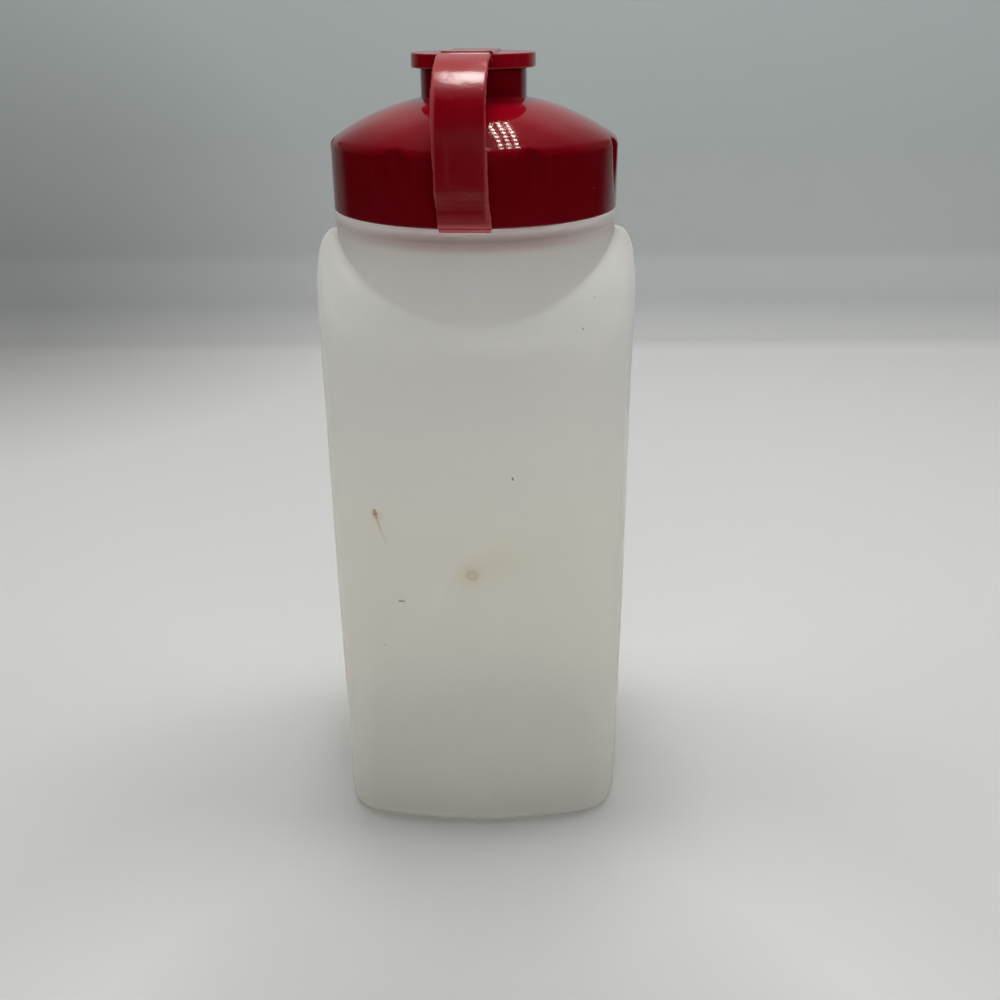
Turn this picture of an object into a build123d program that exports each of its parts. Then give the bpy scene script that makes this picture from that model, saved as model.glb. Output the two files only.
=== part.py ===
from build123d import *
from math import atan, cos, degrees, radians, sin, sqrt
import os

# Flip-top bottle: a blow-moulded oblong bottle, a screw cap with a pouring spout, and a strap that carries
# the spout's lid over the cap. Millimetres, +Z up, the origin on the table under the middle of the bottle.

# Body of the bottle
body_half_width = 41.7
body_half_depth = 38.0
body_corner = 15.0            # radius of the upright corners
body_join = 13.6              # degrees at which a bulging side passes into a round corner
wall = 1.1
foot_radius = 3.0
recess_inset = 9.0            # the raised panel under the base
recess_depth = 1.8
recess_taper = 30

# Shoulder: a roof that falls to the front and back from a ridge along X, with nearly upright ends.
# The round neck is as wide as the bottle is deep, so it runs down into the front and back of the roof.
shoulder_start = 145.4
shoulder_top = 164.5
ridge_half_width = 37.0
ridge_half_depth = 6.0
ridge_corner = 3.0
ridge_join = 4.0
slope_power = 1.3             # 1 makes the slopes of the roof flat, 2 makes them quarter ellipses
end_power = 3.0               # the same for its ends, which are boxier

# Neck of the bottle
neck_root_radius = 36.0
neck_root_wall = 1.3
bead_radius = 36.4
bead_bottom = 167.6
bead_top = 169.9
finish_radius = 32.8          # the tube that carries the thread
finish_bore = 31.1
mouth_top = 183.5

# Thread, right-handed, one start
thread_pitch = 5.0
thread_root_width = 2.3
thread_crest_width = 1.2
thread_depth = 1.15
thread_sink = 0.3             # how far a thread's root reaches into its wall
thread_turns = 1.25
neck_thread_start = 174.6
cap_thread_turns = 1.1
cap_thread_drop = 1.7         # the cap's thread hooks this far under the bottle's

# Screw cap
skirt_radius = 36.3
skirt_bore = 34.3
rim_height = 170.9
skirt_edge = 185.4            # the skirt is upright up to here, then rounds over into the dome
edge_middle = (36.0, 187.1)
dome_start = (35.0, 188.2)
dome_middle = (24.5, 193.7)
spout_foot = 197.0
spout_radius = 13.2
spout_bore = 11.6
spout_top = 203.85
lip_round = 0.5
dome_wall = 1.6
dome_inside_middle = (23.7, 192.1)
seat_height = 184.55          # the ledge that presses on the gasket
seat_inner_radius = 28.6
flute_count = 7
flute_radius = 4.0
flute_depth = 1.2
flute_top = 187.0
flute_bottom = 175.5          # the flutes run out here
flute_cutter_length = 40.0

# Gasket
gasket_inner_radius = 29.4
gasket_outer_radius = 33.9
gasket_gap = 0.05

# Strap and its two hinges, drawn in the plane of the strap, which points to -Y
strap_width = 12.3
strap_thickness = 1.4
hinge_bead = 0.9
hinge_bore = 0.96
hinge_clip = 1.6
hinge_neck = 0.8
neck_length = 2.2
rim_hinge = (-37.7, 172.0)    # Y and Z of the lower hinge
lid_hinge = (-16.9, 207.0)    # Y and Z of the upper hinge
arch_start = -18.4            # where the strap begins to bend down over the dome

rim_clip_from = 220           # the clips' first angle and span, in degrees from +Y towards +Z
rim_clip_span = 200
lid_clip_from = 210
lid_clip_span = 225

# Lid on the spout
disc_radius = 15.4
disc_bottom = 204.0
disc_top = 207.4
disc_round = 0.5
band_height = 0.75            # the strap's band across the disc
band_end = 12.6
bung_radius = 11.2
bung_depth = 3.0

# The thread stops the cap a little short of square to the bottle
cap_turn = -4.0

os.makedirs("parts", exist_ok=True)


def save(piece, name, turn=0.0):
    """Turn a finished piece about the bottle's axis, label it and write it."""
    placed = piece.rotate(Axis.Z, turn)
    placed.label = name
    export_step(placed, f"parts/{name}.step")
    print(f"{name:14s} solids {len(placed.solids())}  volume {placed.volume:9.1f}  valid {placed.is_valid}")
    return placed


def body_outline(half_width, half_depth, corner, join):
    """Four bulging sides and four round corners, all tangent, as one closed line."""
    join = radians(join)
    drop = 1 - cos(join)
    wide = half_width - corner
    deep = half_depth - corner
    side = (deep * sin(join) - wide * drop) / (sin(join) ** 2 - drop ** 2)
    centre_x = wide - side * drop
    centre_y = side * sin(join)
    side_x, side_y = centre_x + corner * cos(join), centre_y + corner * sin(join)
    front_x, front_y = centre_x + corner * sin(join), centre_y + corner * cos(join)
    corner_x, corner_y = centre_x + corner / sqrt(2), centre_y + corner / sqrt(2)
    with BuildLine() as outline:
        for way in (1, -1):
            side_start, side_end = (way * side_x, -way * side_y), (way * side_x, way * side_y)
            front_start, front_end = (way * front_x, way * front_y), (-way * front_x, way * front_y)
            ThreePointArc(side_start, (way * half_width, 0), side_end)
            ThreePointArc(side_end, (way * corner_x, way * corner_y), front_start)
            ThreePointArc(front_start, (0, way * half_depth), front_end)
            ThreePointArc(front_end, (-way * corner_x, way * corner_y), (-way * side_x, way * side_y))
    return outline.edges()


def shoulder_sections(inset, steps=9):
    """Height and outline of each section of the shoulder, from the body up to the ridge."""
    for step in range(steps + 1):
        angle = radians(90 * step / steps)
        rise = sin(angle) ** (2 / slope_power)
        slope = cos(angle) ** (2 / slope_power)
        end = (1 - rise ** end_power) ** (1 / end_power)
        height = shoulder_start + (shoulder_top - inset - shoulder_start) * rise
        outline = body_outline(
            ridge_half_width + (body_half_width - ridge_half_width) * end - inset,
            ridge_half_depth + (body_half_depth - ridge_half_depth) * slope - inset,
            ridge_corner + (body_corner - ridge_corner) * slope - inset,
            ridge_join + (body_join - ridge_join) * slope,
        )
        yield height, outline


def thread_section(outward):
    """The thread's four-sided section; local X points away from the axis."""
    side = 1 if outward else -1
    root = -side * thread_sink
    crest = side * thread_depth
    with BuildLine() as outline:
        Polyline(
            (root, -thread_root_width / 2),
            (crest, -thread_crest_width / 2),
            (crest, thread_crest_width / 2),
            (root, thread_root_width / 2),
            close=True,
        )
    return outline.edges()


def clip_outline(centre, first_angle, span):
    """An open ring that a hinge bead snaps into, with square ends."""
    with BuildLine() as outline:
        inner = CenterArc(centre, hinge_bore, first_angle, span)
        outer = CenterArc(centre, hinge_clip, first_angle, span)
        Line(inner @ 0, outer @ 0)
        Line(inner @ 1, outer @ 1)
    return outline.edges()


# The space inside the bottle
inner_half_width = body_half_width - wall
inner_half_depth = body_half_depth - wall
with BuildPart() as cavity:
    with BuildSketch(Plane.XY.offset(wall)):
        make_face(body_outline(inner_half_width, inner_half_depth, body_corner - wall, body_join))
    extrude(amount=shoulder_start - wall)
    fillet(cavity.edges().group_by(Axis.Z)[0], foot_radius - wall)
    with BuildSketch(Plane.XY.offset(wall)):
        make_face(body_outline(
            inner_half_width - recess_inset + 2 * wall,
            inner_half_depth - recess_inset + 2 * wall,
            body_corner - recess_inset + 2 * wall,
            body_join,
        ))
    extrude(amount=recess_depth, taper=recess_taper, mode=Mode.SUBTRACT)
    for height, outline in shoulder_sections(wall):
        with BuildSketch(Plane.XY.offset(height)):
            make_face(outline)
    loft()
    neck_inside = neck_root_radius - neck_root_wall
    neck_foot = shoulder_start - foot_radius
    with BuildSketch(Plane.XZ):
        with BuildLine():
            Polyline(
                (0, neck_foot),
                (neck_inside, neck_foot),
                (neck_inside, bead_bottom),
                (finish_bore, bead_top + wall),
                (finish_bore, mouth_top + wall),
                (0, mouth_top + wall),
                close=True,
            )
        make_face()
    revolve(axis=Axis.Z)

# The bottle: body, shoulder, neck bead and threaded finish in one blown wall
with BuildPart() as bottle:
    with BuildSketch():
        make_face(body_outline(body_half_width, body_half_depth, body_corner, body_join))
    extrude(amount=shoulder_start)
    fillet(bottle.edges().group_by(Axis.Z)[0], foot_radius)
    with BuildSketch():
        make_face(body_outline(
            body_half_width - recess_inset,
            body_half_depth - recess_inset,
            body_corner - recess_inset,
            body_join,
        ))
    extrude(amount=recess_depth, taper=recess_taper, mode=Mode.SUBTRACT)
    for height, outline in shoulder_sections(0):
        with BuildSketch(Plane.XY.offset(height)):
            make_face(outline)
    loft()
    bead_round = (bead_top - bead_bottom) / 2
    with BuildSketch(Plane.XZ):
        with BuildLine():
            Polyline(
                (bead_radius - bead_round, bead_top),
                (finish_radius, bead_top),
                (finish_radius, mouth_top),
                (0, mouth_top),
                (0, neck_foot),
                (neck_root_radius, neck_foot),
                (neck_root_radius, bead_bottom),
                (bead_radius - bead_round, bead_bottom),
            )
            ThreePointArc(
                (bead_radius - bead_round, bead_bottom),
                (bead_radius, bead_bottom + bead_round),
                (bead_radius - bead_round, bead_top),
            )
        make_face()
    revolve(axis=Axis.Z)
    add(cavity.part, mode=Mode.SUBTRACT)
    with BuildLine() as neck_helix:
        Helix(thread_pitch, thread_pitch * thread_turns, finish_radius, center=(0, 0, neck_thread_start))
    with BuildSketch(Plane(origin=neck_helix.line @ 0, x_dir=(1, 0, 0), z_dir=neck_helix.line % 0)):
        make_face(thread_section(outward=True))
    sweep(path=neck_helix.line, is_frenet=True)

# The gasket between the bottle's mouth and the cap's seat
with BuildPart() as gasket:
    with BuildSketch(Plane.XY.offset(mouth_top + gasket_gap)):
        Circle(gasket_outer_radius)
        Circle(gasket_inner_radius, mode=Mode.SUBTRACT)
    extrude(amount=seat_height - mouth_top - 2 * gasket_gap)

# The screw cap: skirt, dome and spout as one turned wall, with an inside thread and finger flutes
with BuildPart() as cap:
    with BuildSketch(Plane.XZ):
        with BuildLine():
            Polyline(
                (seat_inner_radius, dome_start[1] - dome_wall),
                (seat_inner_radius, seat_height),
                (skirt_bore, seat_height),
                (skirt_bore, rim_height),
                (skirt_radius, rim_height),
                (skirt_radius, skirt_edge),
            )
            ThreePointArc((skirt_radius, skirt_edge), edge_middle, dome_start)
            ThreePointArc(dome_start, dome_middle, (spout_radius, spout_foot))
            Polyline(
                (spout_radius, spout_foot),
                (spout_radius, spout_top),
                (spout_bore, spout_top),
                (spout_bore, spout_foot - dome_wall),
            )
            ThreePointArc(
                (spout_bore, spout_foot - dome_wall),
                dome_inside_middle,
                (seat_inner_radius, dome_start[1] - dome_wall),
            )
        make_face()
    revolve(axis=Axis.Z)
    fillet(cap.edges().filter_by(GeomType.CIRCLE).group_by(Axis.Z)[-1], lip_round)
    with BuildLine() as cap_helix:
        Helix(
            thread_pitch,
            thread_pitch * cap_thread_turns,
            skirt_bore,
            center=(0, 0, neck_thread_start - cap_thread_drop),
        )
    with BuildSketch(Plane(origin=cap_helix.line @ 0, x_dir=(1, 0, 0), z_dir=cap_helix.line % 0)):
        make_face(thread_section(outward=False))
    sweep(path=cap_helix.line, is_frenet=True)
    flute_lean = degrees(atan(flute_depth / (flute_top - flute_bottom)))
    with Locations((0, 0, (flute_top + flute_bottom) / 2)):
        with PolarLocations(
            skirt_radius + flute_radius - flute_depth / 2, flute_count, start_angle=-90 + 180 / flute_count
        ):
            Cylinder(flute_radius, flute_cutter_length, rotation=(0, -flute_lean, 0), mode=Mode.SUBTRACT)
    with BuildSketch(Plane.YZ):
        make_face(clip_outline(rim_hinge, rim_clip_from, rim_clip_span))
        with Locations((rim_hinge[0] + hinge_bore + hinge_clip / 2, rim_height + hinge_clip / 2)):
            Rectangle(hinge_clip, hinge_clip)
    extrude(amount=strap_width / 2, both=True)

# The strap: one flat band from the bead at the cap's rim, up the skirt and over the dome to the lid
with BuildPart() as strap:
    arch_centre = (arch_start, lid_hinge[1] - (arch_start - rim_hinge[0]))
    arch_radius = arch_start - rim_hinge[0]
    half = strap_thickness / 2
    with BuildSketch(Plane.YZ):
        with BuildLine():
            CenterArc(arch_centre, arch_radius + half, 90, 90)
            CenterArc(arch_centre, arch_radius - half, 90, 90)
            Line((arch_start, lid_hinge[1] - half), (arch_start, lid_hinge[1] + half))
            Polyline(
                (rim_hinge[0] - half, arch_centre[1]),
                (rim_hinge[0] - half, rim_hinge[1] + neck_length),
                (rim_hinge[0] + half, rim_hinge[1] + neck_length),
                (rim_hinge[0] + half, arch_centre[1]),
            )
        make_face()
        with Locations((rim_hinge[0], rim_hinge[1] + neck_length / 2)):
            Rectangle(hinge_neck, neck_length)
        with Locations(((lid_hinge[0] + arch_start) / 2, lid_hinge[1])):
            Rectangle(lid_hinge[0] - arch_start, hinge_neck)
        with Locations(rim_hinge, lid_hinge):
            Circle(hinge_bead)
    extrude(amount=strap_width / 2, both=True)

# The lid: a disc on the spout with a domed bung below, the strap's band across it and a clip for the strap's bead
with BuildPart() as lid:
    bung_sphere = (bung_radius ** 2 + bung_depth ** 2) / (2 * bung_depth)
    with BuildSketch(Plane.XZ):
        with BuildLine():
            Polyline(
                (0, disc_bottom - bung_depth),
                (0, disc_top),
                (disc_radius, disc_top),
                (disc_radius, disc_bottom),
                (bung_radius, disc_bottom),
            )
            RadiusArc((bung_radius, disc_bottom), (0, disc_bottom - bung_depth), bung_sphere)
        make_face()
    revolve(axis=Axis.Z)
    fillet(lid.faces().filter_by(GeomType.CYLINDER).edges().filter_by(GeomType.CIRCLE), disc_round)
    with BuildSketch(Plane.YZ):
        make_face(clip_outline(lid_hinge, lid_clip_from, lid_clip_span))
        with Locations((lid_hinge[0] + hinge_bore + hinge_clip / 2, disc_top - hinge_clip / 2)):
            Rectangle(hinge_clip, hinge_clip)
        with Locations(((lid_hinge[0] + hinge_clip + band_end) / 2, disc_top + band_height / 2 - disc_round / 2)):
            Rectangle(band_end - lid_hinge[0] - hinge_clip, band_height + disc_round)
    extrude(amount=strap_width / 2, both=True)

save(bottle.part, "bottle")
save(gasket.part, "cap_gasket")
save(cap.part, "screw_cap", cap_turn)
save(strap.part, "lid_strap", cap_turn)
save(lid.part, "spout_lid", cap_turn)
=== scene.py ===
import math
import bpy
import numpy as np
from mathutils import Matrix, Vector


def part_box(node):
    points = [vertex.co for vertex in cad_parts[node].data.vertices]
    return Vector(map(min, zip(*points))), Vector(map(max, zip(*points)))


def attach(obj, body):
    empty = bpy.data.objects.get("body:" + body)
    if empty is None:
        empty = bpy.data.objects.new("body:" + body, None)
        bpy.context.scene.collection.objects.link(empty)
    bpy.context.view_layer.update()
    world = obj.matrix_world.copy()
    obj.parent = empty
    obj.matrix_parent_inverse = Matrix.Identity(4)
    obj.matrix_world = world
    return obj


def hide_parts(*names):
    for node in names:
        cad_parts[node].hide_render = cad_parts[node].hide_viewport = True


# The finish of the flip-top bottle: a thin translucent bottle, a glossy red screw cap, and the soft red
# strap and lid. Lengths are in millimetres until a mesh is written, in the same frame as the solids.

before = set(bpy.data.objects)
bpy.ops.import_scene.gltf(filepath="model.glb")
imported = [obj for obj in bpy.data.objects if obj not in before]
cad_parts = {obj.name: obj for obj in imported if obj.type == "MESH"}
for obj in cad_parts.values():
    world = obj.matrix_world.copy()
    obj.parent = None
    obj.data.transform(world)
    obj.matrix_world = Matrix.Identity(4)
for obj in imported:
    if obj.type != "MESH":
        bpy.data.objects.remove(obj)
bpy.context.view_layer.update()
MILLIMETRE = 0.001


def top_corner(node):
    """The highest corner of a solid, in millimetres."""
    return np.array(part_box(node)[1]) / MILLIMETRE


# Bottle body
half_width, half_depth, mouth_top = top_corner("bottle")
corner_radius = 15.0
foot_corner = 10.5            # the corners draw in towards the foot
least_corner = 2.0            # of the outline where it is drawn in to the base panel
join_angle = 13.6             # degrees at which a bulging side passes into a corner
wall = 1.1
foot_radius = 3.0
panel_inset = 9.0
panel_rise = 1.8
panel_crown = 0.5             # how much higher the panel is at its middle
panel_taper = math.tan(math.radians(30))

# Shoulder, a roof that falls to the front and back from a ridge along X
shoulder_start = mouth_top - 38.1
shoulder_top = mouth_top - 19.0
ridge_half_width = 37.0
ridge_half_depth = 6.0
ridge_corner = 3.0
ridge_join = 4.0
slope_power = 1.3
end_power = 3.0
roof_round = 5.0              # reach over which the walls turn into the roof
crease_round = 0.8            # how softly the round neck meets the roof

# Neck and threads
neck_radius = 36.0
neck_inside = 34.7
parting_height = 0.12
parting_reach = 0.35
bead_radius = 36.4
bead_bottom = mouth_top - 15.9
bead_top = mouth_top - 13.6
finish_radius = 32.8
finish_bore = 31.1
thread_pitch = 5.0
thread_root = 2.3
thread_crest = 1.2
thread_depth = 1.15
neck_thread_start = mouth_top - 8.9
neck_thread_turns = 1.25
cap_thread_start = neck_thread_start - 1.7
cap_thread_turns = 1.1

# Cap
skirt_radius = 36.3
skirt_bore = 34.3
rim = mouth_top - 12.6
skirt_edge = rim + 14.5
edge_middle = (36.0, rim + 16.2)
dome_start = (35.0, rim + 17.3)
dome_middle = (24.5, rim + 22.8)
spout_foot = rim + 26.1
spout_radius = 13.2
spout_bore = 11.6
spout_top = top_corner("screw_cap")[2]
dome_wall = 1.6
dome_inside_middle = (23.7, rim + 21.2)
seat = rim + 13.65
seat_inner_radius = 28.6
flutes = 7
flute_radius = 4.0
flute_depth = 1.2
flute_top = rim + 16.1
flute_bottom = rim + 4.6
flute_lead = 2.0              # how far below its bottom a flute's soft start reaches

# Strap and hinges, drawn in the strap's own plane, then turned with the cap
cap_turn = math.radians(-4.0)
strap_width = 12.3
strap_thickness = 1.4
hinge_bead = 0.9
hinge_neck = 0.8
clip_middle = 1.28            # radius of the middle of a clip's wall
clip_wall = 0.64
clip_relief = 0.01            # how far a clip's faces lie inside the solid's
rim_hinge = (-37.7, rim + 1.1)
lid_hinge = (-16.9, rim + 36.1)
arch_start = -18.4
neck_length = 2.2
rim_clip_shift = 0.9          # how far the lower hinge sits to the side of the strap's middle

# Lid
disc_radius = 15.4
disc_bottom = rim + 33.1
disc_top = rim + 36.5
band_top = disc_top + 0.75
band_end = 12.6
band_sink = 0.4               # how far the band is pressed down into the disc
bung_radius = 11.2
bung_depth = 3.0

# Old stains and specks on the front of the bottle: a colour, then a place across and up, a reach, a strength
smudge_tail = tuple(
    (-25.9 + 2.0 * run, 96.4 - 6.4 * run, 0.42, 0.45 - 0.3 * run) for run in np.linspace(0, 1, 16)
)
dash = tuple((across, 73.4, 0.28, 0.85) for across in np.linspace(-21.2, -19.9, 5))
stains = (
    ((0.82, 0.70, 0.45, 1), (
        (-1.6, 81.9, 5.0, 0.20), (5.0, 85.5, 9.0, 0.10), (-26.0, 98.0, 2.2, 0.28), (-7.5, 87.0, 7.0, 0.06),
    )),
    ((0.60, 0.45, 0.22, 1), ((-1.6, 81.9, 1.9, 0.46), *smudge_tail)),
    ((0.93, 0.88, 0.76, 1), ((-1.6, 81.9, 1.1, 0.7),)),
    ((0.38, 0.23, 0.08, 1), ((-26.5, 99.4, 0.60, 0.6), (-26.4, 98.5, 0.80, 0.75), (-26.1, 97.5, 0.55, 0.6))),
    ((0.05, 0.04, 0.02, 1), (
        *dash, (9.0, 109.4, 0.34, 0.9), (9.15, 109.0, 0.28, 0.8),
        (26.1, 146.7, 0.28, 0.6), (29.2, 152.8, 0.24, 0.4), (-25.8, 59.3, 0.28, 0.4),
    )),
)


# Mesh writing

def add_object(name, mesh):
    """A mesh as an object in the scene."""
    added = bpy.data.objects.new(name, mesh)
    bpy.context.scene.collection.objects.link(added)
    return added


def smooth_mesh(name, points, faces):
    """A smooth mesh from points in millimetres and lists of the points round each face."""
    mesh = bpy.data.meshes.new(name)
    mesh.from_pydata((points * MILLIMETRE).tolist(), [], faces)
    mesh.polygons.foreach_set("use_smooth", np.ones(len(faces), dtype=bool))
    mesh.update()
    return mesh


def closed_piece(name, points, quads, triangles):
    """A piece whose faces point outwards.

    They do where the tetrahedra from the origin to all its triangles add up to a positive volume.
    """
    halves = np.concatenate([quads[:, :3], quads[:, [0, 2, 3]], triangles])
    a, b, c = (points[halves[:, k]] for k in range(3))
    if np.einsum("ij,ij->", a, np.cross(b, c)) < 0:
        quads, triangles = quads[:, ::-1], triangles[:, ::-1]
    return add_object(name, smooth_mesh(name, points, quads.tolist() + triangles.tolist()))


def skin(name, rows, ring=False):
    """A closed mesh over a grid of points, rows by columns by 3; each row is a closed loop.

    Point (i, j) joins (i, j + 1) and (i + 1, j). A ring joins the last row to the first. Otherwise each
    end row is closed with one point at its middle.
    """
    count, columns = rows.shape[:2]
    steps = np.arange(count if ring else count - 1)[:, None]
    column = np.arange(columns)[None, :]
    here, there = steps * columns, (steps + 1) % count * columns
    after = (column + 1) % columns
    quads = np.stack([here + column, here + after, there + after, there + column], axis=-1).reshape(-1, 4)
    points = rows.reshape(-1, 3)
    if ring:
        return closed_piece(name, points, quads, np.empty((0, 3), dtype=int))
    column, after = column[0], after[0]
    last = (count - 1) * columns
    pole = np.full(columns, len(points))
    triangles = np.concatenate([
        np.stack([pole, after, column], axis=-1), np.stack([last + column, last + after, pole + 1], axis=-1),
    ])
    points = np.concatenate([points, rows[:1].mean(axis=1), rows[-1:].mean(axis=1)])
    return closed_piece(name, points, quads, triangles)


def turned(points):
    """Points turned about the bottle's axis, as far as the cap is."""
    x, y, z = np.moveaxis(points, -1, 0)
    cosine, sine = math.cos(cap_turn), math.sin(cap_turn)
    return np.stack([x * cosine - y * sine, x * sine + y * cosine, z], axis=-1)


# Profiles

def arc(centre, radius, first, last, count):
    """Points on a circle from the first angle to the last, in degrees."""
    angle = np.radians(np.linspace(first, last, count))
    return np.stack([centre[0] + radius * np.cos(angle), centre[1] + radius * np.sin(angle)], axis=-1)


def arc_through(start, middle, end, count=60):
    """Points on the circle through three points, from the first to the last."""
    (ax, ay), (bx, by), (cx, cy) = start, middle, end
    twice = 2 * (ax * (by - cy) + bx * (cy - ay) + cx * (ay - by))
    a, b, c = ax * ax + ay * ay, bx * bx + by * by, cx * cx + cy * cy
    x = (a * (by - cy) + b * (cy - ay) + c * (ay - by)) / twice
    y = (a * (cx - bx) + b * (ax - cx) + c * (bx - ax)) / twice
    first, last = (math.degrees(math.atan2(p[1] - y, p[0] - x)) for p in (start, end))
    last += 360 * round((first - last) / 360)
    return arc((x, y), math.hypot(ax - x, ay - y), first, last, count)


def eased(path, reach, spacing=0.1):
    """The path with its corners rounded: points at an even spacing, each the mean of those within reach."""
    path = np.asarray(path, dtype=float)
    along = np.concatenate([[0], np.cumsum(np.hypot(*np.diff(path, axis=0).T))])
    even = np.arange(0, along[-1], spacing)
    fine = np.stack([np.interp(even, along, path[:, k]) for k in range(2)], axis=-1)
    spread = max(1, int(reach / spacing))
    padded = np.concatenate([np.repeat(fine[:1], spread, 0), fine, np.repeat(fine[-1:], spread, 0)])
    total = np.cumsum(np.concatenate([np.zeros((1, 2)), padded]), axis=0)
    return (total[2 * spread + 1:] - total[:-2 * spread - 1]) / (2 * spread + 1)


def paced(path, count, turn_weight=6.0):
    """The path again with a given number of points, closer together where it turns.

    The pace is the length plus a weight times the angle turned, and the points are evenly spaced in it.
    """
    step = np.diff(path, axis=0)
    length = np.hypot(*step.T)
    heading = np.unwrap(np.arctan2(step[:, 1], step[:, 0]))
    turn = np.abs(np.diff(heading, prepend=heading[0]))
    pace = np.concatenate([[0], np.cumsum(length + turn_weight * turn)])
    even = np.linspace(0, pace[-1], count)
    return np.stack([np.interp(even, pace, path[:, k]) for k in range(2)], axis=-1)


def smooth_step(value, low, high):
    """0 below low, 1 above high, and an S-shaped cubic between them."""
    t = np.clip((value - low) / (high - low), 0, 1)
    return t * t * (3 - 2 * t)


def soft_max(a, b, reach):
    """The larger of two values, with the corner between them rounded over the reach."""
    share = np.clip(0.5 + 0.5 * (a - b) / reach, 0, 1)
    return a * share + b * (1 - share) + reach * share * (1 - share)


def lathe(profile, columns):
    """A profile of radius and height carried round the axis."""
    angle = np.linspace(0, 2 * math.pi, columns, endpoint=False)
    radius, height = profile[:, :1], profile[:, 1:]
    return np.stack([radius * np.cos(angle), radius * np.sin(angle), height + 0 * angle], axis=-1)


def thread_height(angle, height, start, turns):
    """How far a thread stands out: a trapezoid across its pitch line, faded at both ends."""
    fade = 0.03  # of a turn
    stands = 0
    for lap in range(math.ceil(turns) + 1):
        run = angle / (2 * math.pi) + lap
        off = np.abs(height - start - thread_pitch * run)
        ridge = np.clip((thread_root / 2 - off) / (thread_root / 2 - thread_crest / 2), 0, 1)
        ends = smooth_step(run, 0, fade) * (1 - smooth_step(run, turns - fade, turns))
        stands = np.maximum(stands, thread_depth * ridge * ends)
    return stands


# Bottle

def outline_radius(angle, width, depth, corner, join):
    """Distance from the axis to an outline of four bulging sides and four round corners, all tangent.

    A side that faces X is a circle about a point on X, a side that faces Y one about a point on Y, and
    each corner is a circle of the corner radius. Each answers for its own range of directions.
    """
    across, along = np.abs(np.cos(angle)), np.abs(np.sin(angle))
    join = np.radians(join)
    sine, drop = np.sin(join), 1 - np.cos(join)
    side = ((depth - corner) * sine - (width - corner) * drop) / (sine ** 2 - drop ** 2)
    centre_x, centre_y = width - corner - side * drop, side * sine
    front = centre_x / sine

    def circle(x, y, radius):
        """Where a ray from the axis leaves a circle about (x, y)."""
        reach = x * across + y * along
        return reach + np.sqrt(np.maximum(radius ** 2 - x ** 2 - y ** 2 + reach ** 2, 0))

    direction = np.arctan2(along, across)
    side_ends = np.arctan2(centre_y + corner * sine, centre_x + corner * np.cos(join))
    front_starts = np.arctan2(centre_y + corner * np.cos(join), centre_x + corner * sine)
    facing_x = circle(width - corner - side, 0, side + corner)
    facing_y = circle(0, depth - corner - front, front + corner)
    radius = np.where(direction < side_ends, facing_x, circle(centre_x, centre_y, corner))
    return np.where(direction > front_starts, facing_y, radius)


def roof_radius(angle, height, inset):
    """Radius of the body at a height: upright to the shoulder, then the arched roof up to its ridge.

    With the rise h from 0 to 1, the depth falls as (1 - h^p)^(1/p) with the slope's power, and the width
    in the same way with the power of the ends. Above the ridge the radius falls off steeply.
    """
    top = shoulder_top - inset
    rise = np.clip((height - shoulder_start) / (top - shoulder_start), 0, 1)
    slope = (1 - rise ** slope_power) ** (1 / slope_power)
    end = (1 - rise ** end_power) ** (1 / end_power)
    corner = foot_corner + (corner_radius - foot_corner) * smooth_step(height, 0, 0.7 * shoulder_start)
    radius = outline_radius(
        angle,
        ridge_half_width + (half_width - ridge_half_width) * end - inset,
        ridge_half_depth + (half_depth - ridge_half_depth) * slope - inset,
        ridge_corner + (corner - ridge_corner) * slope - inset,
        ridge_join + (join_angle - ridge_join) * slope,
    )
    fall = 3  # millimetres of radius for each of height
    return radius - fall * np.maximum(height - top, 0)


def rounded_roof(angle, height, inset):
    """The roof with a round start: the mean of its radius over the heights within a reach.

    The reach fades to nothing further up, where the roof keeps its own slope.
    """
    reach = roof_round * (1 - smooth_step(height, shoulder_start + 4, shoulder_start + 13))
    shares = np.linspace(-1, 1, 11)
    return sum(roof_radius(angle, height + reach * share, inset) for share in shares) / len(shares)


def blown_unevenness(angle, height):
    """Slow waves of a few hundredths of a millimetre in a blown wall, none at the foot or the neck."""
    waves = 0.05 * np.sin(3 * angle + height / 23) + 0.04 * np.sin(5 * angle - height / 15 + 1.3)
    above_foot = smooth_step(height, 6, 30)
    below_neck = 1 - smooth_step(height, shoulder_start - 20, shoulder_start + 4)
    return waves * above_foot * below_neck


def parting_ridge(angle, height):
    """The mould's parting line, a faint ridge at the front and back of the neck."""
    off = neck_radius * np.abs(np.cos(angle))
    strength = smooth_step(height, shoulder_start, shoulder_start + 12)
    return parting_height * strength * np.exp(-(off / parting_reach) ** 2)


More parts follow.
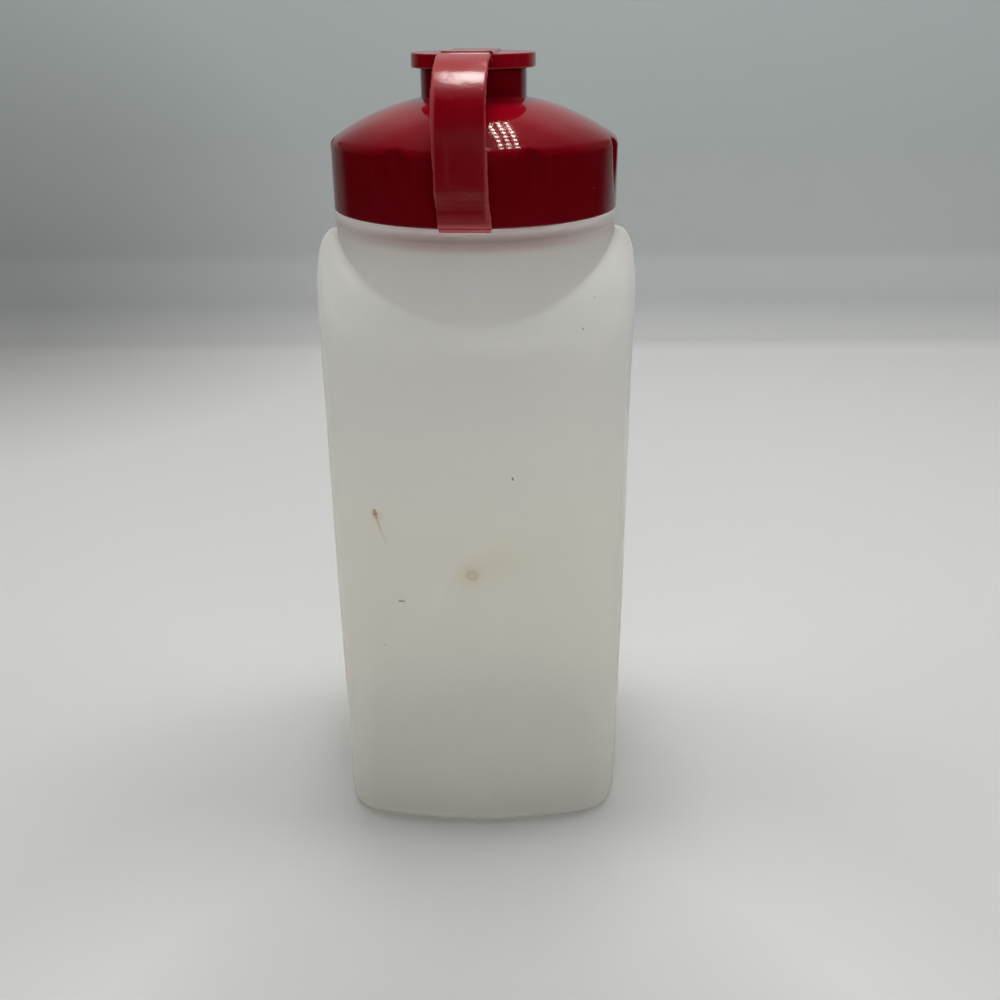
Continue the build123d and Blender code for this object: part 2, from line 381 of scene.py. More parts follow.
def make_bottle(columns=288):
    """One closed skin, from the middle of the inside base up the inner wall, over the mouth and down."""
    angle = np.linspace(0, 2 * math.pi, columns, endpoint=False)[None, :]

    def level(radius, height):
        """Rows at given heights."""
        return np.stack([radius * np.cos(angle), radius * np.sin(angle), height + 0 * angle], axis=-1)

    def base(inset, height):
        """Rows of the body's outline drawn in by an inset."""
        corner = np.maximum(foot_corner - inset, least_corner)
        radius = outline_radius(angle, half_width - inset, half_depth - inset, corner, join_angle)
        return level(radius, height)

    def column(values):
        """Values as a column, one to a row of the grid."""
        return np.asarray(values, dtype=float)[:, None]

    def foot(inset, radius, under):
        """The base from its middle to the wall: raised panel, taper, foot ring and round foot."""
        panel_edge = panel_inset - inset
        taper_top = panel_edge + panel_rise * panel_taper
        panel = base(taper_top + inset, under + panel_rise)
        shrink = column([0.02, 0.25, 0.5, 0.75, 0.9, 0.97])[:, :, None]
        middle = panel * shrink
        middle[..., 2] = under + panel_rise + panel_crown * (1 - shrink[..., 0] ** 2)
        turn = np.radians(np.linspace(0, 90, 9))
        rows = eased(
            [(taper_top, panel_rise), (panel_edge, 0), (radius, 0)]
            + [(radius * (1 - math.sin(t)), radius * (1 - math.cos(t))) for t in turn[1:]], 0.35
        )
        rows = paced(rows, 22, turn_weight=3.0)
        return np.concatenate([middle, base(column(rows[:, 0]) + inset, column(rows[:, 1]) + under)])

    def walls(inset, neck, first):
        """Rows from the foot to the bead: the walls, the roof of the shoulder and the neck."""
        heights = column(np.concatenate([
            np.linspace(first, shoulder_start - roof_round, 28)[1:],
            np.linspace(shoulder_start - roof_round, shoulder_top + 1, 60)[1:],
            np.linspace(shoulder_top + 1, bead_bottom, 4)[1:],
        ]))
        roof = rounded_roof(angle, heights, inset) + blown_unevenness(angle, heights)
        neck_radii = np.where(heights > shoulder_start - foot_radius, neck + parting_ridge(angle, heights), 0)
        return level(soft_max(roof, neck_radii, crease_round), heights)

    inner = [foot(wall, foot_radius - wall, wall)]
    inner.append(walls(wall, neck_inside, foot_radius)[:-1])
    mouth = eased(
        [(neck_inside, bead_bottom - 0.3), (neck_inside, bead_bottom), (finish_bore, bead_top + wall),
         (finish_bore, mouth_top), (finish_radius, mouth_top), (finish_radius, mouth_top - 0.6)], 0.35
    )
    inner.append(level(*(column(v) for v in paced(mouth, 34).T)))
    threads = column(np.linspace(mouth_top - 0.8, bead_top + 0.6, 52))
    stands = thread_height(angle, threads, neck_thread_start, neck_thread_turns)
    inner.append(level(finish_radius + stands, threads))
    round_middle, bead_half = (bead_top + bead_bottom) / 2, (bead_top - bead_bottom) / 2
    meets_neck = -math.degrees(math.acos((neck_radius - bead_radius + bead_half) / bead_half))
    bead = eased(np.concatenate([
        [(finish_radius, bead_top + 0.5), (finish_radius, bead_top)],
        arc((bead_radius - bead_half, round_middle), bead_half, 90, meets_neck, 30),
        [(neck_radius, bead_bottom - 0.3)],
    ]), 0.3)
    inner.append(level(*(column(v) for v in paced(bead, 22, turn_weight=3.0).T)))
    outer = np.concatenate([foot(0, foot_radius, 0), walls(0, neck_radius, foot_radius)[:-1]])
    return skin("bottle_shell", np.concatenate(inner + [outer[::-1]]))


# Cap

def flute_cut(angle, height):
    """Radius at which a leaning round cutter leaves the cap at a height.

    The cutter's axis is at a distance D from the cap's, which falls as the cutter sinks in towards the
    top. Seen in a direction a away from the cutter's middle, it meets the cap at
    D cos a - sqrt(r^2 - D^2 sin^2 a).
    """
    sink = flute_depth * (height - flute_bottom) / (flute_top - flute_bottom)
    distance = skirt_radius + flute_radius - sink
    pitch = 2 * math.pi / flutes
    off = (angle + math.pi / 2) % pitch - pitch / 2
    inside = flute_radius ** 2 - (distance * np.sin(off)) ** 2
    cut = distance * np.cos(off) - np.sqrt(np.maximum(inside, 0))
    return np.where(inside > 0, cut, 2 * skirt_radius)


def make_cap(columns=476):
    """The turned wall of the cap as one ring: up the skirt, over the dome and spout, and back inside."""
    outside = eased(np.concatenate([
        [(skirt_bore + 0.8, rim), (skirt_radius, rim), (skirt_radius, skirt_edge)],
        arc_through((skirt_radius, skirt_edge), edge_middle, dome_start),
        arc_through(dome_start, dome_middle, (spout_radius, spout_foot), 200)[1:],
        [(spout_radius, spout_top), ((spout_radius + spout_bore) / 2, spout_top)],
    ]), 0.35)
    inside = eased(np.concatenate([
        [((spout_radius + spout_bore) / 2, spout_top), (spout_bore, spout_top)],
        arc_through((spout_bore, spout_foot - dome_wall), dome_inside_middle,
                    (seat_inner_radius, dome_start[1] - dome_wall), 120),
        [(seat_inner_radius, seat), (skirt_bore, seat), (skirt_bore, seat - 0.6)],
    ]), 0.3)
    outside_rows, inside_rows, bore_rows = 112, 40, 50
    bore = np.stack([np.full(bore_rows, skirt_bore), np.linspace(seat - 0.8, rim + 0.5, bore_rows)], axis=-1)
    lip = eased([(skirt_bore, rim + 0.4), (skirt_bore, rim), (skirt_bore + 0.7, rim)], 0.2)
    rows = np.concatenate([
        paced(outside, outside_rows, turn_weight=9.0), paced(inside, inside_rows)[1:],
        bore, paced(lip, 8)[:-1],
    ])
    angle = np.linspace(0, 2 * math.pi, columns, endpoint=False)[None, :]
    radius, height = rows[:, :1] + 0 * angle, rows[:, 1:]
    row = np.arange(len(rows))[:, None]
    fluted = (row < outside_rows) & (height > flute_bottom - flute_lead)
    cut = np.where(fluted, flute_cut(angle, height), 2 * skirt_radius)
    radius = -soft_max(-radius, -cut, 0.25)
    threaded = (row >= outside_rows + inside_rows - 1) & (height > rim + 0.4)
    radius = radius - np.where(threaded, thread_height(angle, height, cap_thread_start, cap_thread_turns), 0)
    points = np.stack([radius * np.cos(angle), radius * np.sin(angle), height + 0 * angle], axis=-1)
    return skin("cap_shell", turned(points), ring=True)


# Strap, hinges and lid

def rounded_section(width, thickness, rounding, corner_points=6):
    """Rounded rectangles, one to a row: offsets across and through, with each corner a quarter circle."""
    offsets = []
    for across, through, first in ((1, 1, 0), (-1, 1, 90), (-1, -1, 180), (1, -1, 270)):
        turn = np.radians(np.linspace(first, first + 90, corner_points))
        offsets.append(np.stack([
            across * (width / 2 - rounding) + rounding * np.cos(turn),
            through * (thickness / 2 - rounding) + rounding * np.sin(turn),
        ], axis=-1))
    return np.concatenate(offsets, axis=1)


def ribbon(name, path, width, thickness, rounding, shift=0.0):
    """A rounded rectangle carried along a path in the strap's plane, its width along X.

    The through direction is the path's normal; the section's size and sideways shift may vary by row.
    """
    count = len(path)
    heading = np.gradient(path, axis=0)
    heading /= np.hypot(*heading.T)[:, None]
    width, thickness, rounding = (
        (np.zeros(count) + value)[:, None] for value in (width, thickness, rounding)
    )
    section = rounded_section(width, thickness, np.minimum(rounding, thickness * 0.499))
    across = section[..., 0] + (np.zeros(count) + shift)[:, None]
    y = path[:, :1] - heading[:, 1:] * section[..., 1]
    z = path[:, 1:] + heading[:, :1] * section[..., 1]
    return skin(name, turned(np.stack([across, y, z], axis=-1)))


def flash_edge(along):
    """The strap's trimmed edge: small uneven steps left by a knife, from sines that never line up."""
    return 0.10 * np.sin(along * 0.9) + 0.07 * np.sin(along * 2.3 + 1) + 0.04 * np.sin(along * 5.1 + 2)


def make_strap(rows=240):
    """The strap with its two hinge beads, as one ribbon up the skirt and over to the lid."""
    radius = arch_start - rim_hinge[0]
    path = np.concatenate([
        [(rim_hinge[0], rim_hinge[1] - hinge_bead)],
        arc((arch_start, lid_hinge[1] - radius), radius, 180, 90, 120),
        [(lid_hinge[0] + hinge_bead, lid_hinge[1])],
    ])
    path = eased(path, 0.01)
    along = np.concatenate([[0], np.cumsum(np.hypot(*np.diff(path, axis=0).T))])
    total = along[-1]
    # Rows lie closer together over the last stretch at each end, where the beads are.
    end, tip = 5, 0.01
    even = np.concatenate([
        np.linspace(tip, end, rows // 4), np.linspace(end, total - end, rows // 2)[1:-1],
        np.linspace(total - end, total - tip, rows // 4),
    ])
    path = np.stack([np.interp(even, along, path[:, k]) for k in range(2)], axis=-1)
    from_end = np.minimum(even, total - even)
    least_half = 0.03
    bead = 2 * np.sqrt(np.maximum(hinge_bead ** 2 - (from_end - hinge_bead) ** 2, least_half ** 2))
    # The strap thickens slowly above the rim's hinge, and at once behind the lid's.
    gain = strap_thickness - hinge_neck
    rim_end = hinge_neck + gain * smooth_step(even, neck_length, neck_length + 8.0)
    lid_end = hinge_neck + gain * smooth_step(total - even, 2.1, 3.2)
    past_bead = np.maximum(np.where(from_end < 2 * hinge_bead, bead, 0), np.minimum(rim_end, lid_end))
    thickness = np.where(from_end < hinge_bead, bead, past_bead)
    width = strap_width + 0.05 + flash_edge(even)
    bow = rim_clip_shift - 0.7 * smooth_step(even, 0, 9) - 0.65 * smooth_step(even, 8, total * 0.6)
    return ribbon("strap_band", path, width, thickness, 0.45, bow)


def make_clip(name, hinge, first, span, shift=0.0):
    """A clip round a hinge bead: a wall that curls round it, thinned towards both lips.

    Its inner face keeps the bore's radius, so the middle of the wall lies half a thickness outside that.
    """
    lip_share, lip_reach = 0.4, 1.3
    angle = np.linspace(first, first + span, 70)
    to_lip = np.radians(np.minimum(angle - first, first + span - angle)) * clip_middle
    full = lip_share + (1 - lip_share) * smooth_step(to_lip, 0, lip_reach)
    thickness = (clip_wall - 2 * clip_relief) * full
    radius = clip_middle - clip_wall / 2 + clip_relief + thickness / 2
    turn = np.radians(angle)
    path = np.stack([hinge[0] + radius * np.cos(turn), hinge[1] + radius * np.sin(turn)], axis=-1)
    return ribbon(name, path, strap_width - 0.3, thickness, 0.25, shift)


def make_lid_disc(columns=256):
    """The turned part of the lid: a flat disc with round edges, and a domed bung under it."""
    sphere = (bung_radius ** 2 + bung_depth ** 2) / (2 * bung_depth)
    low = disc_bottom - bung_depth
    sweep = math.degrees(math.asin(bung_radius / sphere))
    profile = eased(np.concatenate([
        arc((0, low + sphere), sphere, -90, -90 + sweep, 60),
        [(disc_radius, disc_bottom), (disc_radius, disc_top), (0, disc_top)],
    ]), 0.4)
    pole_radius = 0.3
    profile = paced(profile, 100, turn_weight=3.0)
    profile = profile[profile[:, 0] > pole_radius]
    return skin("lid_disc", turned(lathe(profile, columns)))


def make_lid_band():
    """The end of the strap, flat across the top of the disc, with a rounded tip."""
    tip_reach = 2.0
    along = np.linspace(-disc_radius + 0.4, band_end, 80)
    path = np.stack([along, np.full(len(along), (disc_top + band_top) / 2 - band_sink)], axis=-1)
    to_tip = band_end - along
    into_tip = 1 - np.minimum(to_tip, tip_reach) / tip_reach
    width = (strap_width - 0.2) * np.sqrt(1 - 0.35 * into_tip ** 2)
    thickness = (band_top - disc_top + 0.2) * (0.45 + 0.55 * smooth_step(to_tip, 0, 1.0))
    return ribbon("lid_band", path, width + 0.4 * flash_edge(along), thickness, 0.3)


# Node helpers

def feed(tree, node, key, value):
    """An input set to a value, or linked where the value is another node's socket."""
    if isinstance(value, bpy.types.NodeSocket):
        tree.links.new(value, node.inputs[key])
    else:
        node.inputs[key].default_value = value


def add_node(tree, kind, settings=None, **inputs):
    """A node with its settings and inputs, each input by its name or, as _0, by its number."""
    node = tree.nodes.new(kind)
    for name, value in (settings or {}).items():
        setattr(node, name, value)
    for name, value in inputs.items():
        feed(tree, node, int(name[1:]) if name[0] == "_" else name.replace("_", " "), value)
    return node


def calculate(tree, operation, *values):
    """A maths node over one to three values."""
    node = add_node(tree, "ShaderNodeMath", {"operation": operation})
    for index, value in enumerate(values):
        feed(tree, node, index, value)
    return node.outputs[0]


def multiply(tree, first, second):
    """The product of two values."""
    return calculate(tree, "MULTIPLY", first, second)


def ramp(tree, source, stops):
    """A colour ramp over (position, colour) stops; a colour may be one grey value."""
    node = add_node(tree, "ShaderNodeValToRGB", Fac=source)
    elements = node.color_ramp.elements
    while len(elements) < len(stops):
        elements.new(0.5)
    for element, (position, colour) in zip(elements, stops):
        element.position = position
        element.color = colour if isinstance(colour, tuple) else (colour, colour, colour, 1)
    return node.outputs["Color"]


def blend_colour(tree, share, low, high, mode="MIX"):
    """Two colours mixed by a share."""
    settings = {"data_type": "RGBA", "blend_type": mode}
    return add_node(tree, "ShaderNodeMix", settings, _0=share, _6=low, _7=high).outputs[2]


def tinted(tree, colour, factor):
    """A colour multiplied by another one, or by a mask."""
    return blend_colour(tree, 1.0, colour, factor, "MULTIPLY")


def object_place(tree):
    """A point's place in the object's frame, in metres."""
    return add_node(tree, "ShaderNodeTexCoord").outputs["Object"]


def along_axis(tree, place, axis):
    """One coordinate of a place."""
    return add_node(tree, "ShaderNodeSeparateXYZ", Vector=place).outputs[axis]


def object_height(tree):
    """Height above the table, in metres."""
    return along_axis(tree, object_place(tree), "Z")


def height_share(tree, low, high):
    """How far up a point lies from one height in millimetres, where it is 0, to another, where it is 1."""
    above = calculate(tree, "SUBTRACT", object_height(tree), low * MILLIMETRE)
    return calculate(tree, "DIVIDE", above, (high - low) * MILLIMETRE)


def away_from(tree, place, centre):
    """How far a place is from a point, in metres."""
    node = add_node(tree, "ShaderNodeVectorMath", {"operation": "DISTANCE"}, _0=place, _1=centre)
    return node.outputs["Value"]


def scaled(tree, place, factors):
    """A place with each coordinate multiplied by its own factor."""
    node = add_node(tree, "ShaderNodeVectorMath", {"operation": "MULTIPLY"}, _0=place, _1=factors)
    return node.outputs["Vector"]


def noise(tree, place, scale, detail, **values):
    """Soft noise from 0 to 1."""
    node = add_node(tree, "ShaderNodeTexNoise", Vector=place, Scale=scale, Detail=detail, **values)
    return node.outputs["Fac"]


# Effects that materials share

def new_group(name, inputs, outputs):
    """An empty node group with float inputs, given as name and default, and outputs as name and kind."""
    group = bpy.data.node_groups.new(name, "ShaderNodeTree")
    for label, value in inputs.items():
        socket = group.interface.new_socket(label, in_out="INPUT", socket_type="NodeSocketFloat")
        socket.default_value = value
    for label, kind in outputs.items():
        group.interface.new_socket(label, in_out="OUTPUT", socket_type=kind)
    return group, group.nodes.new("NodeGroupInput").outputs, group.nodes.new("NodeGroupOutput").inputs


def moulded_surface():
    """Group: how moulded plastic departs from a mirror: fine texture, slow waves, and a haze mask."""
    group, given, result = new_group("moulded_surface", {
        "Grain Scale": 1500.0, "Grain Height": 0.1, "Wave Scale": 60.0, "Wave Height": 0.1,
        "Haze Scale": 90.0,
    }, {"Normal": "NodeSocketVector", "Haze": "NodeSocketFloat"})
    place = object_place(group)
    grain = noise(group, place, given["Grain Scale"], 2.0)
    waves = noise(group, place, given["Wave Scale"], 1.0)
    haze = noise(group, place, given["Haze Scale"], 5.0, Roughness=0.6)
    low = add_node(group, "ShaderNodeBump", Height=waves, Strength=given["Wave Height"], Distance=0.001)
    high = add_node(
        group, "ShaderNodeBump", Height=grain, Strength=given["Grain Height"], Distance=0.0002,
        Normal=low.outputs["Normal"],
    )
    group.links.new(high.outputs["Normal"], result["Normal"])
    group.links.new(ramp(group, haze, [(0.45, 0.0), (0.72, 1.0)]), result["Haze"])
    return group


def fine_scratches():
    """Group: a mask of short hairline scratches, from noise stretched along one direction."""
    group, given, result = new_group(
        "fine_scratches", {"Scale": 40.0, "Stretch": 30.0, "Amount": 0.5}, {"Mask": "NodeSocketFloat"}
    )
    factors = add_node(group, "ShaderNodeCombineXYZ", X=given["Stretch"], Y=given["Stretch"], Z=1.0)
    stretched = scaled(group, object_place(group), factors.outputs[0])
    lines = ramp(group, noise(group, stretched, given["Scale"], 3.0), [(0.60, 0.0), (0.68, 1.0)])
    group.links.new(multiply(group, lines, given["Amount"]), result["Mask"])
    return group


def dust_specks():
    """Group: a mask of scattered dust specks, the cores of the cells of a fine cell pattern."""
    group, given, result = new_group(
        "dust_specks", {"Scale": 400.0, "Size": 0.12, "Share": 0.2}, {"Mask": "NodeSocketFloat"}
    )
    cells = add_node(group, "ShaderNodeTexVoronoi", Vector=object_place(group), Scale=given["Scale"])
    core = calculate(group, "LESS_THAN", cells.outputs["Distance"], given["Size"])
    chance = add_node(group, "ShaderNodeSeparateColor", Color=cells.outputs["Color"]).outputs[0]
    picked = calculate(group, "LESS_THAN", chance, given["Share"])
    group.links.new(multiply(group, core, picked), result["Mask"])
    return group


def use_group(tree, group, **values):
    """A shared group placed in a material with its own values."""
    return add_node(tree, "ShaderNodeGroup", {"node_tree": group}, **values)


surface_group = moulded_surface()
scratch_group = fine_scratches()
dust_group = dust_specks()


# Materials

def new_material(name):
    """An empty node material, its tree and its output node."""
    material = bpy.data.materials.new(name)
    material.use_nodes = True
    tree = material.node_tree
    tree.nodes.clear()
    return material, tree, tree.nodes.new("ShaderNodeOutputMaterial")


def marks_mask(tree, marks):
    """The strongest of several round marks on the front: a place across and up, a radius, a strength."""
    place = object_place(tree)
    flat = scaled(tree, place, (1.0, 0.0, 1.0))
    ragged = multiply(tree, noise(tree, place, 1500.0, 2.0), 0.25)
    total = 0.0
    for across, up, radius, strength in marks:
        away = away_from(tree, flat, (across * MILLIMETRE, 0.0, up * MILLIMETRE))
        reach = calculate(tree, "MULTIPLY_ADD", away, 0.5 / (radius * MILLIMETRE), ragged)
        total = calculate(tree, "MAXIMUM", ramp(tree, reach, [(0.40, strength), (0.65, 0.0)]), total)
    in_front = calculate(tree, "LESS_THAN", along_axis(tree, place, "Y"), 0.0)
    return multiply(tree, total, in_front)


def natural_plastic():
    """Unpigmented polyethylene: milky, with a waxy gloss; about half the light that enters comes through.

    Just under the cap it has a painted rosy shade, standing in for the cap's shadow and red light,
    and below an arch near the foot a painted shade makes it a little darker.
    """
    material, tree, output = new_material("natural_plastic")
    surface = use_group(
        tree, surface_group, Grain_Scale=900.0, Grain_Height=0.10, Wave_Scale=45.0, Wave_Height=0.05
    )
    height = object_height(tree)
    up = multiply(tree, height, 5.5)  # 1 at a height of 182 mm
    # Towards the top of the neck the tint turns pinkish: painted red light from the cap.
    tint = ramp(tree, up, [
        (0.0, (0.98, 0.97, 0.935, 1)), (0.50, (0.98, 0.97, 0.93, 1)), (0.65, (0.97, 0.965, 0.945, 1)),
        (0.82, (0.945, 0.945, 0.935, 1)), (0.90, (0.96, 0.955, 0.94, 1)), (0.94, (0.95, 0.92, 0.91, 1)),
    ])
    off_middle = calculate(tree, "ABSOLUTE", along_axis(tree, object_place(tree), "X"))
    # Painted shadow and red light of the cap on the collar, strongest in the middle of the front.
    painted_cap_shadow = ramp(tree, up, [(0.908, 0.0), (0.916, 0.9), (0.922, 0.9), (0.930, 0.45), (0.945, 0.2)])
    middle = ramp(tree, multiply(tree, off_middle, 20.0), [(0.30, 1.0), (0.62, 0.25)])
    tint = blend_colour(tree, multiply(tree, painted_cap_shadow, middle), tint, (0.74, 0.61, 0.60, 1))
    # The arch is a parabola, highest in the middle of the front; below it a painted shade darkens the
    # plastic.
    arch = calculate(tree, "MULTIPLY_ADD", multiply(tree, off_middle, off_middle), 12.0, height)
    painted_arch_shade = ramp(tree, multiply(tree, arch, 8.0), [(0.46, 1.0), (0.53, 0.0)])
    tint = blend_colour(tree, painted_arch_shade, tint, (0.97, 0.96, 0.93, 1))
    for colour, marks in stains:
        tint = blend_colour(tree, marks_mask(tree, marks), tint, colour)
    scratches = use_group(tree, scratch_group, Scale=25.0, Stretch=14.0, Amount=0.35)
    hazed = calculate(tree, "MULTIPLY_ADD", surface.outputs["Haze"], 0.10, 0.42)
    roughness = calculate(tree, "MULTIPLY_ADD", scratches.outputs["Mask"], 0.2, hazed)
    gloss = add_node(
        tree, "ShaderNodeBsdfPrincipled", Base_Color=tint, Roughness=roughness, IOR=1.5,
        Transmission_Weight=1.0, Normal=surface.outputs["Normal"],
    )
    through = add_node(tree, "ShaderNodeBsdfTranslucent", Color=tint, Normal=surface.outputs["Normal"])
    through_share = 0.54
    mixed = add_node(
        tree, "ShaderNodeMixShader", _0=through_share, _1=gloss.outputs[0], _2=through.outputs[0]
    )
    tree.links.new(mixed.outputs[0], output.inputs["Surface"])
    return material


def strap_whitening_and_sheen(tree):
    """Paler parts of the soft strap: whitened near the cap's hinge, painted sheen on the arch and thin edges.
    """
    sideways = (math.cos(cap_turn), math.sin(cap_turn), 0.0)
    settings = {"operation": "DOT_PRODUCT"}
    across = add_node(tree, "ShaderNodeVectorMath", settings, _0=object_place(tree), _1=sideways)
    to_side = calculate(tree, "ABSOLUTE", across.outputs["Value"])
    to_edge = calculate(tree, "DIVIDE", to_side, strap_width * MILLIMETRE)
    # Painted sheen along the strap's thin edges.
    edge = ramp(tree, to_edge, [(0.43, 0.0), (0.49, 0.3)])
    above_hinge = height_share(tree, rim - 1.0, rim + 11.0)
    bent = ramp(tree, above_hinge, [(0.0, 0.9), (0.14, 0.5), (0.27, 0.14), (0.42, 0.0)])
    # Painted sheen over the arch, around its highlight.
    arched = ramp(tree, height_share(tree, rim + 28.0, rim + 38.0), [(0.0, 0.0), (0.5, 0.28)])
    return calculate(tree, "MAXIMUM", calculate(tree, "MAXIMUM", edge, bent), arched)


def painted_dome_light(tree):
    """Painted light on the cap's dome: brighter more and more up from its edge, until it nears the spout."""
    rise = height_share(tree, skirt_edge, spout_foot + 2.0)
    return ramp(tree, rise, [(0.15, 0.0), (0.84, 1.0), (0.93, 0.0)])


def red_gloss(name, colour, worn_colour, roughness, haze_roughness, waves, whitening_and_painted_light=None, pale=None):
    """Glossy red moulding: a deep colour that pales a little where it is hazed, scuffed or dusty.

    Where a mask is given, the colour turns towards a paler one: on the cap's dome this is painted light,
    on the strap it is whitening by bending with a painted sheen.
    """
    material, tree, output = new_material(name)
    surface = use_group(
        tree, surface_group, Grain_Scale=1400.0, Grain_Height=waves / 2, Wave_Scale=150.0, Wave_Height=waves
    )
    scratches = use_group(tree, scratch_group, Scale=30.0, Stretch=20.0, Amount=0.5)
    dust = use_group(tree, dust_group, Scale=420.0, Size=0.07, Share=0.07)
    hazed = multiply(tree, surface.outputs["Haze"], 0.35)
    worn = calculate(tree, "MAXIMUM", hazed, scratches.outputs["Mask"])
    tint = blend_colour(tree, worn, colour, worn_colour)
    if whitening_and_painted_light:
        tint = blend_colour(tree, whitening_and_painted_light(tree), tint, pale)
    dusty = multiply(tree, dust.outputs["Mask"], 0.45)
    tint = blend_colour(tree, dusty, tint, (0.45, 0.25, 0.22, 1))
    rough = calculate(tree, "MULTIPLY_ADD", worn, haze_roughness, roughness)
    shader = add_node(
        tree, "ShaderNodeBsdfPrincipled", Base_Color=tint, Roughness=rough, IOR=1.5,
        Normal=surface.outputs["Normal"],
    )
    tree.links.new(shader.outputs[0], output.inputs["Surface"])
    return material


def soft_seal():
    """The gasket's matt off-white foam."""
    material, tree, output = new_material("soft_seal")
    surface = use_group(
        tree, surface_group, Grain_Scale=2500.0, Grain_Height=0.4, Wave_Scale=200.0, Wave_Height=0.1
    )
    tint = blend_colour(tree, surface.outputs["Haze"], (0.80, 0.79, 0.75, 1), (0.68, 0.67, 0.62, 1))
    shader = add_node(
        tree, "ShaderNodeBsdfPrincipled", Base_Color=tint, Roughness=0.75, Normal=surface.outputs["Normal"]
    )
    tree.links.new(shader.outputs[0], output.inputs["Surface"])
    return material


def glow_material(name, colour, strength):
    """A plain light-giving surface."""
    material, tree, output = new_material(name)
    shader = add_node(tree, "ShaderNodeEmission", Color=colour, Strength=strength)
    tree.links.new(shader.outputs[0], output.inputs["Surface"])
    return material


# Studio

def stage_panel(name, corner_points, material):
    """A flat four-cornered panel of the studio."""
    mesh = bpy.data.meshes.new(name)
    mesh.from_pydata((corner_points * MILLIMETRE).tolist(), [], [(0, 1, 2, 3)])
    mesh.materials.append(material)
    add_object(name, mesh)


def area_light(name, place, aim, size, power, colour=(1, 1, 1), mirrored=True):
    """A rectangular lamp that faces a point; one that isn't mirrored leaves no highlight."""
    lamp = bpy.data.lights.new(name, "AREA")
    lamp.shape = "RECTANGLE"
    lamp.size, lamp.size_y = (value * MILLIMETRE for value in size)
    lamp.energy = power
    lamp.color = colour
    light = bpy.data.objects.new(name, lamp)
    place, aim = Vector(place) * MILLIMETRE, Vector(aim) * MILLIMETRE
    turn = (aim - place).to_track_quat("-Z", "Y").to_matrix().to_4x4()
    light.matrix_world = Matrix.Translation(place) @ turn
    light.visible_glossy = mirrored
    bpy.context.scene.collection.objects.link(light)


def sweep_material():
    """The studio's sheet, with painted shade: pale where it lies flat, cooler and darker where it rises.

    It has a painted shadow close in front of the bottle and painted shade in the left corner at the back.
    Far off a painted dimness shows as well, but only in reflections and in the light that it throws back.
    """
    material, tree, output = new_material("sweep_surface")
    place = object_place(tree)
    # Painted shade: the sheet is darker and cooler where it rises.
    tint = ramp(tree, multiply(tree, along_axis(tree, place, "Z"), 4.0), [
        (0.0, (0.465, 0.47, 0.46, 1)), (0.016, (0.37, 0.375, 0.37, 1)), (0.06, (0.335, 0.345, 0.345, 1)),
        (0.10, (0.31, 0.32, 0.32, 1)), (0.20, (0.40, 0.42, 0.42, 1)), (0.54, (0.355, 0.385, 0.385, 1)),
    ])
    # Painted shade: the floor far off is dimmed, but not where the camera sees it directly.
    near = ramp(tree, away_from(tree, place, (0.0, 0.06, 0.0)), [(0.54, 1.0), (0.95, 0.08)])
    seen = add_node(tree, "ShaderNodeLightPath").outputs["Is Camera Ray"]
    tint = tinted(tree, tint, calculate(tree, "MAXIMUM", near, seen))
    # Painted shadow on the floor close in front of the bottle.
    to_front = multiply(tree, away_from(tree, place, (0.0, -0.15, 0.0)), 4.0)
    painted_front_shadow = ramp(tree, to_front, [(0.15, 0.80), (0.32, 0.89), (0.42, 0.97), (0.60, 0.90), (0.85, 0.96)])
    tint = tinted(tree, tint, painted_front_shadow)
    # Painted shade in the left corner at the back.
    to_shaded_corner = away_from(tree, place, (-0.36, 0.48, 0.0))
    tint = tinted(tree, tint, ramp(tree, to_shaded_corner, [(0.05, 0.62), (0.27, 1.0)]))
    cloudy = multiply(tree, noise(tree, place, 9.0, 4.0), 0.06)
    tint = blend_colour(tree, cloudy, tint, (0.5, 0.5, 0.5, 1))
    shader = add_node(tree, "ShaderNodeBsdfPrincipled", Base_Color=tint, Roughness=0.55)
    tree.links.new(shader.outputs[0], output.inputs["Surface"])
    return material


def make_sweep():
    """The floor runs back, curves up through a quarter circle and becomes the backdrop."""
    side, front, back, bend, top = 1800, -1500, 430, 60, 330
    path = np.concatenate([
        [(front, 0)], arc((back, bend), bend, -90, 0, 24), [(back + bend, top)],
    ])
    across, along, up = np.broadcast_arrays(np.array([-side, side]), path[:, :1], path[:, 1:])
    points = np.stack([across, along, up], axis=-1).reshape(-1, 3)
    faces = 2 * np.arange(len(path) - 1)[:, None] + np.array([0, 1, 3, 2])
    mesh = smooth_mesh("sweep", points, faces.tolist())
    mesh.materials.append(sweep_material())
    add_object("sweep", mesh)


def make_world():
    """Soft light from behind: brightest at 15 to 40 degrees, dim overhead and to the sides, dark in front.

    Where it shows directly it is an even pale grey.
    """
    world = bpy.data.worlds.new("studio")
    bpy.context.scene.world = world
    world.use_nodes = True
    tree = world.node_tree
    direction = add_node(tree, "ShaderNodeTexCoord").outputs["Generated"]
    up, back = along_axis(tree, direction, "Z"), along_axis(tree, direction, "Y")
    sky = ramp(tree, up, [(0.0, 0.20), (0.25, 0.55), (0.62, 0.43), (0.74, 0.19), (1.0, 0.16)])
    behind = calculate(tree, "MULTIPLY_ADD", back, 0.5, 0.5)
    sky = tinted(tree, sky, ramp(tree, behind, [(0.30, 0.03), (0.55, 0.15), (0.75, 1.0)]))
    to_side = calculate(tree, "ABSOLUTE", along_axis(tree, direction, "X"))
    sky = tinted(tree, sky, ramp(tree, to_side, [(0.28, 1.0), (0.46, 0.22), (1.0, 0.18)]))
    sky = tinted(tree, sky, (0.96, 1.0, 1.0, 1))
    seen = add_node(tree, "ShaderNodeLightPath").outputs["Is Camera Ray"]
    sky = blend_colour(tree, seen, sky, (0.40, 0.42, 0.42, 1))
    background = tree.nodes["Background"]
    tree.links.new(sky, background.inputs["Color"])
    background.inputs["Strength"].default_value = 0.77


